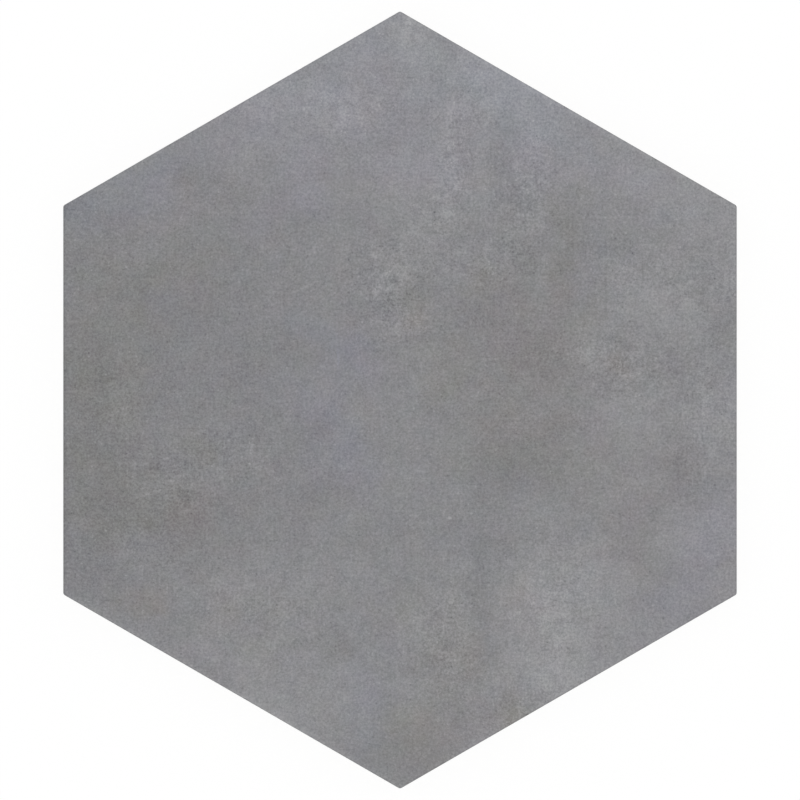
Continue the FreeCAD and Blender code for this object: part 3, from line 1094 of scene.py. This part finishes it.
@dataclass(frozen=True)
class CementGlaze:
    """The matt glaze of the face, mottled like trowelled cement, as a group.

    Attributes:
        half_flats: From the middle of the tile to a flat side, in millimetres.
        colour: Its mean colour, in screen levels.
        clouds: The large soft patches that it has.
        patches: The smaller ones.
        marks: The small sharp marks.
        lively: Where the flakes lie and the mottling is strongest.
        drift: How far the edges of the clouds wander, in millimetres.
        drift_size: The size of that wandering, in millimetres.
        fray: How far the edges of the patches wander, in millimetres.
        fray_size: The size of that wandering, in millimetres.
        wear: How far the edges of the marks wander, in millimetres.
        wear_size: The size of that wandering, in millimetres.
        tilt: How its lightness rises towards +X and +Y, in screen levels a millimetre.
        wisp_sizes: The sizes of its wisps, in millimetres, from coarse to fine.
        wisp_levels: How strong the wisps are, in screen levels.
        stretch: How much shorter the wisps are across than along, because the glaze was brushed on.
        liveliness: How much stronger the mottling is for each screen level that the glaze is lighter.
        scumble_size: The size of the gaps in its light patches, in millimetres.
        scumble: How much of a light patch the gaps take and give in the liveliest places, from 0 to 1.
        scumble_least: The same in the calmest.
        wisp_stir: How much stronger the wisps are in the liveliest places.
        wisp_calm: How strong they are in the calm ones.
        grain_stir: How much stronger the speckle is in the liveliest places.
        grain_calm: How strong it is in the calm ones.
        flake_size: The size of the light flakes, in millimetres.
        flake_levels: How strong they are in the liveliest places, in screen levels.
        stroke_length: The length of its fine strokes, in millimetres.
        stroke_width: The width of its fine strokes, in millimetres.
        stroke_levels: How strong they are, in screen levels.
        grain_size: The size of its speckle, in millimetres.
        grain_levels: How strong the speckle is, in screen levels.
        speck_size: The mean distance between its specks, in millimetres.
        speck_levels: How light or dark the strongest specks are, in screen levels.
        tint_size: The size of its warm and cool blotches, in millimetres.
        tint_levels: How strong they are, in screen levels.
        rose_levels: How strong its rosy and green blotches are, in screen levels.
        edge_levels: How much lighter its edge is along each side, counterclockwise from the side at +X.
        edge_reach: How far that reaches into the face, in millimetres.
        rim_levels: How much lighter the glaze is on the whole towards the edge, in screen levels.
        rim_width: How far from the edge that begins, in millimetres.
        roughness: Its roughness on the whole.
    """

    half_flats: float
    colour: tuple[float, float, float] = (124.9, 124.9, 127.3)
    clouds: tuple[Cloud, ...] = CLOUDS
    patches: tuple[Cloud, ...] = PATCHES
    marks: tuple[Cloud, ...] = MARKS
    lively: tuple[Cloud, ...] = LIVELY
    drift: float = 14.0
    drift_size: float = 24.0
    fray: float = 4.0
    fray_size: float = 6.0
    wear: float = 0.8
    wear_size: float = 2.0
    tilt: tuple[float, float] = (0.012, 0.006)
    wisp_sizes: tuple[float, ...] = (9.0, 4.2, 2.0)
    wisp_levels: tuple[float, ...] = (2.4, 3.6, 2.8)
    stretch: float = 0.9
    liveliness: float = 0.007
    scumble_size: float = 5.5
    scumble: float = 0.35
    scumble_least: float = 0.25
    wisp_stir: float = 0.8
    wisp_calm: float = 0.85
    grain_stir: float = 0.25
    grain_calm: float = 0.95
    flake_size: float = 3.2
    flake_levels: float = 8.0
    stroke_length: float = 9.0
    stroke_width: float = 0.9
    stroke_levels: float = 2.0
    grain_size: float = 0.8
    grain_levels: float = 11.2
    speck_size: float = 1.1
    speck_levels: float = 16.0
    tint_size: float = 7.5
    tint_levels: float = 1.4
    rose_levels: float = 1.1
    edge_levels: tuple[float, ...] = (3.0, 9.0, 3.5, -4.0, 7.5, 3.5)
    edge_reach: float = 2.0
    rim_levels: float = 1.8
    rim_width: float = 20.0
    roughness: float = 0.62

    def build(self, grain: Effect) -> Effect:
        """Makes the group.

        Args:
            grain: The speckle.

        Returns:
            The group, which puts out the glaze's colour, its roughness and the height of its grain.
        """
        effect = Effect(
            "cement_glaze",
            {"Place": (Kind.VECTOR, (0.0, 0.0, 0.0))},
            {"Color": Kind.COLOUR, "Roughness": Kind.NUMBER, "Height": Kind.NUMBER},
        )
        wiring, place = effect.wiring, effect.given["Place"]
        speckle = grain.place(wiring, Place=place, Size=self.grain_size)["Grain"]
        clouds = PatchEffect("clouds", self.clouds, self.drift, self.drift_size, 5.0).build().place(wiring, Place=place)
        patches = PatchEffect("patches", self.patches, self.fray, self.fray_size, 4.0).build().place(wiring, Place=place)
        marks = PatchEffect("marks", self.marks, self.wear, self.wear_size, 2.0).build().place(wiring, Place=place)
        edges = PatchEffect("edges", self._edges()).build().place(wiring, Place=place)
        lively = PatchEffect("lively", self.lively, self.fray, self.fray_size, 2.0).build().place(wiring, Place=place)
        flaked = wiring.math("MAXIMUM", wiring.math("ADD", lively[Tone.PALE], lively[Tone.DARK]), -0.5)
        pale = wiring.math("ADD", clouds[Tone.PALE], patches[Tone.PALE])
        light = wiring.math("MULTIPLY", pale, self._scumble(wiring, place, flaked))
        for tones in (clouds, patches):
            light = wiring.math("ADD", light, tones[Tone.DARK])
        for tones in (marks, edges):
            light = wiring.math("ADD", light, wiring.math("ADD", tones[Tone.PALE], tones[Tone.DARK]))
        light = wiring.math("ADD", light, self._tilt(wiring, place))
        mottle = wiring.math("MULTIPLY", speckle, self.grain_levels)
        mottle = wiring.math("MULTIPLY_ADD", self._strokes(wiring, place), self.stroke_levels, mottle)
        mottle = wiring.math("MULTIPLY_ADD", self._specks(wiring, place), self.speck_levels, mottle)
        mottle = wiring.math("MULTIPLY", mottle, wiring.math("MULTIPLY_ADD", flaked, self.grain_stir, self.grain_calm))
        flakes = wiring.math("MULTIPLY", self._flakes(wiring, place), wiring.math("MAXIMUM", flaked, 0.0))
        mottle = wiring.math("MULTIPLY_ADD", flakes, self.flake_levels, mottle)
        stirred = wiring.math("MULTIPLY_ADD", flaked, self.wisp_stir, self.wisp_calm)
        mottle = wiring.math("MULTIPLY_ADD", self._wisps(wiring, place), stirred, mottle)
        bold = wiring.math("MULTIPLY_ADD", light, self.liveliness, 1.0)
        light = wiring.math("MULTIPLY_ADD", mottle, bold, light)
        blotches = wiring.noise(wiring.vector("ADD", place, (71.0, 3.0, 9.0)), self.tint_size, 2.0, 0.6)
        tints = wiring.put("ShaderNodeSeparateXYZ", Vector=blotches.outputs["Color"])
        warmer = wiring.math("MULTIPLY_ADD", tints.outputs[0], 4.0, -2.0)
        rosier = wiring.math("MULTIPLY_ADD", tints.outputs[1], 4.0, -2.0)
        warmth = wiring.math("MULTIPLY", warmer, self.tint_levels)
        for tones in (clouds, patches, marks):
            warmth = wiring.math("ADD", warmth, tones[Tone.WARMTH])
        rose = wiring.math("MULTIPLY_ADD", rosier, self.rose_levels, clouds[Tone.ROSE])
        wiring.feed(effect.result["Color"], self._coloured(wiring, light, warmth, rose))
        rough = wiring.math("MULTIPLY_ADD", speckle, 0.03, self.roughness)
        wiring.feed(effect.result["Roughness"], rough)
        wiring.feed(effect.result["Height"], speckle)
        return effect

    def _edges(self) -> tuple[Cloud, ...]:
        """A thin and a broad strip along each side, lighter or darker than the rest of the face by a set amount for
        each side.
        """
        strips = []
        for number, levels in enumerate(self.edge_levels):
            middle = heading(number * TURN) * self.half_flats
            turn = math.degrees(number * TURN + QUARTER)
            long = 2 * self.half_flats
            strips.append(Cloud(middle.x, middle.y, long, self.edge_reach, turn, light=levels))
            strips.append(Cloud(middle.x, middle.y, long / 3, self.rim_width, turn, light=self.rim_levels))
        return tuple(strips)

    def _scumble(self, wiring: Wiring, place: Value, flaked: Value) -> bpy.types.NodeSocket:
        """How much of a light patch there is: more on its flecks and less in the gaps, and one on the whole."""
        flecks = wiring.noise(wiring.vector("ADD", place, (3.0, 29.0, 41.0)), self.scumble_size, 5.0, 0.7).outputs[0]
        strength = wiring.math("MULTIPLY_ADD", flaked, self.scumble, self.scumble_least)
        return wiring.math("MULTIPLY_ADD", wiring.ease(flecks, 0.36, 0.64, -1.0, 1.0), strength, 1.0)

    def _specks(self, wiring: Wiring, place: Value) -> bpy.types.NodeSocket:
        """Above nothing on the light specks, below it on the dark ones, and strong on a few of them."""
        cells = wiring.put("ShaderNodeTexVoronoi", {"feature": "F1"}, Vector=place, Scale=1 / self.speck_size)
        kind = wiring.put("ShaderNodeSeparateXYZ", Vector=cells.outputs["Color"]).outputs[0]
        kind = wiring.math("MULTIPLY_ADD", kind, 2.0, -1.0)
        strength = wiring.math("MULTIPLY", wiring.math("MULTIPLY", kind, kind), kind)
        return wiring.math("MULTIPLY", strength, wiring.ease(cells.outputs["Distance"], 0.4, 0.15))

    def _flakes(self, wiring: Wiring, place: Value) -> bpy.types.NodeSocket:
        """One on the light flakes and nothing between them."""
        flake = wiring.noise(wiring.vector("ADD", place, (5.0, 61.0, 33.0)), self.flake_size, 5.0, 0.75).outputs[0]
        return wiring.ease(flake, 0.53, 0.61)

    def _tilt(self, wiring: Wiring, place: Value) -> bpy.types.NodeSocket:
        """The slow change in lightness from one side of the tile to the other."""
        return wiring.vector("DOT_PRODUCT", place, (*self.tilt, 0.0))

    def _wisps(self, wiring: Wiring, place: Value) -> Value:
        """The fine mottling between the patches and the speckle."""
        stretched = wiring.vector("MULTIPLY", place, (1.0, self.stretch, 1.0))
        total: Value = 0.0
        for number, (size, levels) in enumerate(zip(self.wisp_sizes, self.wisp_levels)):
            moved = wiring.vector("ADD", stretched, (13.0 * (number + 1), 47.0, 21.0))
            total = wiring.math("MULTIPLY_ADD", wiring.centred(moved, size, 2.0, 0.6), levels, total)
        return total

    def _strokes(self, wiring: Wiring, place: Value) -> Value:
        """Above nothing on the light fine strokes along +X and along +Y, and below it on the dark ones."""
        total: Value = 0.0
        for across, up in ((self.stroke_width, self.stroke_length), (self.stroke_length, self.stroke_width)):
            drawn = wiring.vector("MULTIPLY", place, (1 / across, 1 / up, 1 / self.stroke_length))
            total = wiring.math("ADD", wiring.centred(wiring.vector("ADD", drawn, (7.0, 19.0, up)), 1.0, 1.0), total)
        return total

    def _coloured(self, wiring: Wiring, light: Value, warmth: Value, rose: Value) -> bpy.types.NodeSocket:
        """The mean colour, made lighter or darker, warmer or cooler, rosier or greener."""
        colour: Value = linear(self.colour)
        for levels, direction in ((light, (1.0, 1.0, 1.0)), (warmth, WARMER), (rose, ROSIER)):
            change = wiring.scale([LEVEL * share for share in direction], levels)
            colour = wiring.vector("ADD", colour, change)
        return colour


@dataclass(frozen=True)
class FiredBody:
    """The bare body of the tile under its glaze, as a group.

    Attributes:
        colour: Its mean colour, in screen levels.
        blotch_size: The size of its darker and lighter places, in millimetres.
        blotch_levels: How strong they are, in screen levels.
        grain_size: The size of its grain, in millimetres.
        grain_levels: How strong the grain is, in screen levels.
        speck_size: The mean distance between its iron specks, in millimetres.
        speck_colour: The colour of the specks, in screen levels.
        roughness: Its roughness on the whole.
    """

    colour: tuple[float, float, float] = (166.0, 160.0, 151.0)
    blotch_size: float = 12.0
    blotch_levels: float = 3.0
    grain_size: float = 0.6
    grain_levels: float = 5.0
    speck_size: float = 1.6
    speck_colour: tuple[float, float, float] = (104.0, 88.0, 74.0)
    roughness: float = 0.8

    def build(self, grain: Effect) -> Effect:
        """Makes the group.

        Args:
            grain: The speckle.

        Returns:
            The group, which puts out the body's colour, its roughness and the height of its grain.
        """
        effect = Effect(
            "fired_body",
            {"Place": (Kind.VECTOR, (0.0, 0.0, 0.0))},
            {"Color": Kind.COLOUR, "Roughness": Kind.NUMBER, "Height": Kind.NUMBER},
        )
        wiring, place = effect.wiring, effect.given["Place"]
        speckle = grain.place(wiring, Place=place, Size=self.grain_size)["Grain"]
        blotches = wiring.centred(place, self.blotch_size, 3.0, 0.6)
        light = wiring.math("MULTIPLY", blotches, self.blotch_levels)
        light = wiring.math("MULTIPLY_ADD", speckle, self.grain_levels, light)
        share = wiring.math("MULTIPLY_ADD", light, LEVEL, 1.0)
        clay = wiring.scale(linear(self.colour), share)
        specks = wiring.put("ShaderNodeTexVoronoi", {"feature": "F1"}, Vector=place)
        specks.inputs["Scale"].default_value = 1 / self.speck_size
        mask = wiring.ease(specks.outputs["Distance"], 0.11, 0.05)
        dirt = (*linear(self.speck_colour), 1.0)
        wiring.feed(effect.result["Color"], wiring.blend(wiring.math("MULTIPLY", mask, 0.7), clay, dirt))
        wiring.feed(effect.result["Roughness"], wiring.math("MULTIPLY_ADD", speckle, 0.03, self.roughness))
        wiring.feed(effect.result["Height"], speckle)
        return effect


class Finish:
    """A material with one principled shader, fed by groups."""

    def __init__(self, name: str, specular: float) -> None:
        """Makes the material.

        Args:
            name: Its name.
            specular: How strongly it mirrors, beside plain glass at 0.5.
        """
        self.material = bpy.data.materials.new(name)
        self.material.use_nodes = True
        tree = self.material.node_tree
        self.wiring = Wiring(tree)
        self.shader = tree.nodes["Principled BSDF"]
        self.shader.inputs["Specular IOR Level"].default_value = specular
        coordinates = self.wiring.put("ShaderNodeTexCoord").outputs["Object"]
        self.place = self.wiring.scale(coordinates, 1 / MM)

    def dress(self, colour: Value, roughness: Value, height: Value, depth: float) -> bpy.types.Material:
        """Feeds the shader.

        Args:
            colour: The colour over the surface.
            roughness: The roughness over the surface.
            height: The height of the grain over the surface.
            depth: How deep that grain is, in metres.

        Returns:
            The finished material.
        """
        self.wiring.feed(self.shader.inputs["Base Color"], colour)
        self.wiring.feed(self.shader.inputs["Roughness"], roughness)
        bump = self.wiring.put("ShaderNodeBump", Height=height, Distance=depth, Strength=1.0)
        self.wiring.feed(self.shader.inputs["Normal"], bump.outputs["Normal"])
        return self.material


@dataclass(frozen=True)
class GlazedFace:
    """The glaze on the face and the arris.

    Attributes:
        specular: How strongly it mirrors.
        grain_depth: The depth of its grain, in metres.
    """

    specular: float = 0.35
    grain_depth: float = 0.006 * MM

    def build(self, glaze: Effect) -> bpy.types.Material:
        """Makes the material of the face."""
        finish = Finish("matt_cement_glaze", self.specular)
        outputs = glaze.place(finish.wiring, Place=finish.place)
        return finish.dress(outputs["Color"], outputs["Roughness"], outputs["Height"], self.grain_depth)


@dataclass(frozen=True)
class PressedSide:
    """The sides: bare body below, with the glaze that ran over the arris above.

    Attributes:
        glaze_ends: How high above the back the glaze ends, in millimetres.
        fringe: How far its lower edge wanders up and down, in millimetres.
        fringe_size: The size of that wandering along the side, in millimetres.
        specular: How strongly it mirrors.
        grain_depth: The depth of its grain, in metres.
    """

    glaze_ends: float = 7.4
    fringe: float = 0.7
    fringe_size: float = 3.5
    specular: float = 0.35
    grain_depth: float = 0.015 * MM

    def build(self, glaze: Effect, body: Effect) -> bpy.types.Material:
        """Makes the material of the sides."""
        finish = Finish("pressed_side", self.specular)
        wiring, place = finish.wiring, finish.place
        bare = body.place(wiring, Place=place)
        glazed = glaze.place(wiring, Place=place)
        height = wiring.vector("DOT_PRODUCT", place, (0.0, 0.0, 1.0))
        wander = wiring.centred(place, self.fringe_size, 4.0, 0.65)
        level = wiring.math("MULTIPLY_ADD", wander, -self.fringe, height)
        cover = wiring.ease(level, self.glaze_ends - 0.25, self.glaze_ends + 0.45)
        colour = wiring.blend(cover, bare["Color"], glazed["Color"])
        roughness = wiring.blend(cover, bare["Roughness"], glazed["Roughness"])
        grain = wiring.math("MULTIPLY", bare["Height"], wiring.math("SUBTRACT", 1.0, cover))
        return finish.dress(colour, roughness, grain, self.grain_depth)


@dataclass(frozen=True)
class WashedBack:
    """The back: bare body, with kiln wash where the ribs and the rim touched the rollers.

    Attributes:
        wash_colour: The colour of the wash, in screen levels.
        wash_depth: How far into a cell the wash goes, in millimetres.
        wash_cover: How much of the ribs it covers, from 0 to 1.
        streak_size: The size of its streaks, in millimetres.
        specular: How strongly it mirrors.
        grain_depth: The depth of its grain, in metres.
    """

    wash_colour: tuple[float, float, float] = (214.0, 210.0, 202.0)
    wash_depth: float = 0.12
    wash_cover: float = 0.75
    streak_size: float = 5.0
    specular: float = 0.3
    grain_depth: float = 0.02 * MM

    def build(self, body: Effect) -> bpy.types.Material:
        """Makes the material of the back."""
        finish = Finish("washed_back", self.specular)
        wiring, place = finish.wiring, finish.place
        bare = body.place(wiring, Place=place)
        height = wiring.vector("DOT_PRODUCT", place, (0.0, 0.0, 1.0))
        on_ribs = wiring.ease(height, self.wash_depth, 0.3 * self.wash_depth)
        drawn = wiring.vector("MULTIPLY", place, (1.0, 0.3, 1.0))
        patchy = wiring.noise(drawn, self.streak_size, 5.0, 0.7).outputs[0]
        powder = wiring.noise(place, 0.8, 2.0, 0.6).outputs[0]
        amount = wiring.math("MULTIPLY_ADD", powder, 0.5, patchy)
        cover = wiring.ease(amount, 0.95 - 0.4 * self.wash_cover, 1.1 - 0.4 * self.wash_cover)
        cover = wiring.math("MULTIPLY", wiring.math("MULTIPLY", cover, self.wash_cover), on_ribs)
        colour = wiring.blend(cover, bare["Color"], (*linear(self.wash_colour), 1.0))
        return finish.dress(colour, bare["Roughness"], bare["Height"], self.grain_depth)


@dataclass(frozen=True)
class Studio:
    """The plain pale floor, the soft light and the camera straight above the tile.

    Attributes:
        view_height: What the picture takes in from bottom to top, on the plane of the face.
        distance: How far the camera is above that plane.
        sensor: The width of the camera's sensor, in millimetres.
        floor_size: The length and width of the floor.
        floor_drop: How far the floor lies below the tile.
        sky: The share of the light that comes from all around.
        overhead: The share that comes from straight above.
        spread: The angle that the overhead light spreads over, in radians.
        shadow_share: How much of the floor's own shading the camera sees, and the rest is plain white.
    """

    view_height: float = 257.15 * MM
    distance: float = 3.0
    sensor: float = 36.0
    floor_size: float = 8.0
    floor_drop: float = 0.02 * MM
    sky: float = 0.42
    overhead: float = 0.58
    spread: float = math.radians(8)
    shadow_share: float = 0.2

    def build(self, face: float) -> None:
        """Makes the studio around a tile whose face is at a height."""
        self._camera(face)
        self._lamps()
        self._sky()
        self._floor()
        settings = bpy.context.scene.view_settings
        settings.view_transform = "Standard"

    def _camera(self, face: float) -> None:
        """The camera, which looks straight down with +Y up in the picture."""
        data = bpy.data.cameras.new("camera")
        data.sensor_width = self.sensor
        data.sensor_height = self.sensor
        data.lens = self.sensor * self.distance / self.view_height
        camera = bpy.data.objects.new("camera", data)
        camera.location = (0.0, 0.0, face + self.distance)
        bpy.context.scene.collection.objects.link(camera)
        bpy.context.scene.camera = camera

    def _lamps(self) -> None:
        """The overhead light."""
        data = bpy.data.lights.new("overhead", "SUN")
        data.energy = math.pi * self.overhead
        data.angle = self.spread
        lamp = bpy.data.objects.new("overhead", data)
        lamp.location = (0.0, 0.0, self.distance)
        bpy.context.scene.collection.objects.link(lamp)

    def _seen(self, wiring: Wiring) -> bpy.types.NodeSocket:
        """One where the camera sees the surface, by itself or in a mirror or glass, and nothing elsewhere."""
        path = wiring.put("ShaderNodeLightPath").outputs
        seen = wiring.math("MAXIMUM", path["Is Camera Ray"], path["Is Glossy Ray"])
        return wiring.math("MAXIMUM", seen, path["Is Transmission Ray"])

    def _sky(self) -> None:
        """The light from all around, which shows as plain white."""
        world = bpy.data.worlds.new("sky")
        world.use_nodes = True
        wiring = Wiring(world.node_tree)
        background = world.node_tree.nodes["Background"]
        background.inputs["Color"].default_value = (1.0, 1.0, 1.0, 1.0)
        seen = self._seen(wiring)
        wiring.feed(background.inputs["Strength"], wiring.math("MULTIPLY_ADD", seen, 1 - self.sky, self.sky))
        bpy.context.scene.world = world

    def _floor(self) -> None:
        """The floor, white to the camera but for a share of the shadow that the tile casts on it."""
        mesh = bpy.data.meshes.new("floor")
        half = self.floor_size / 2
        corners = [(-half, -half), (half, -half), (half, half), (-half, half)]
        mesh.from_pydata([(x, y, -self.floor_drop) for x, y in corners], [], [(0, 1, 2, 3)])
        material = bpy.data.materials.new("white_floor")
        material.use_nodes = True
        tree = material.node_tree
        wiring = Wiring(tree)
        shader = tree.nodes["Principled BSDF"]
        shader.inputs["Base Color"].default_value = (1.0, 1.0, 1.0, 1.0)
        shader.inputs["Roughness"].default_value = 1.0
        shader.inputs["Specular IOR Level"].default_value = 0.0
        glow = wiring.put("ShaderNodeEmission", Strength=1.0)
        share = wiring.math("MULTIPLY", self._seen(wiring), 1 - self.shadow_share)
        mixed = wiring.put("ShaderNodeMixShader")
        wiring.feed(mixed.inputs[0], share)
        wiring.feed(mixed.inputs[1], shader.outputs[0])
        wiring.feed(mixed.inputs[2], glow.outputs[0])
        wiring.feed(tree.nodes["Material Output"].inputs["Surface"], mixed.outputs[0])
        mesh.materials.append(material)
        floor = bpy.data.objects.new("floor", mesh)
        bpy.context.scene.collection.objects.link(floor)


def report(piece: bpy.types.Object) -> None:
    """Logs what a piece is made of."""
    mesh = piece.data
    mesh.calc_loop_triangles()
    size = " x ".join(f"{length / MM:.2f}" for length in piece.dimensions)
    log.info("%s: %d points, %d triangles, %s mm", piece.name, len(mesh.vertices), len(mesh.loop_triangles), size)


def main() -> None:
    """Builds the finishes, the tile and the studio, in that order."""
    logging.basicConfig(level=logging.INFO, format="%(name)s: %(message)s")
    low, high = (Vector(corner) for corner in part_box(NODE))

    shape = Tile(low, high)
    grain = GrainEffect().build()
    glaze = CementGlaze(shape.half_flats / MM).build(grain)
    body = FiredBody().build(grain)
    finishes = {
        Zone.FACE: GlazedFace().build(glaze),
        Zone.SIDE: PressedSide().build(glaze, body),
        Zone.BACK: WashedBack().build(body),
    }

    tile = shape.build(finishes)
    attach(tile, BODY)
    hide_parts(NODE)
    report(tile)

    Studio().build(high.z)


if __name__ == "__main__":
    main()
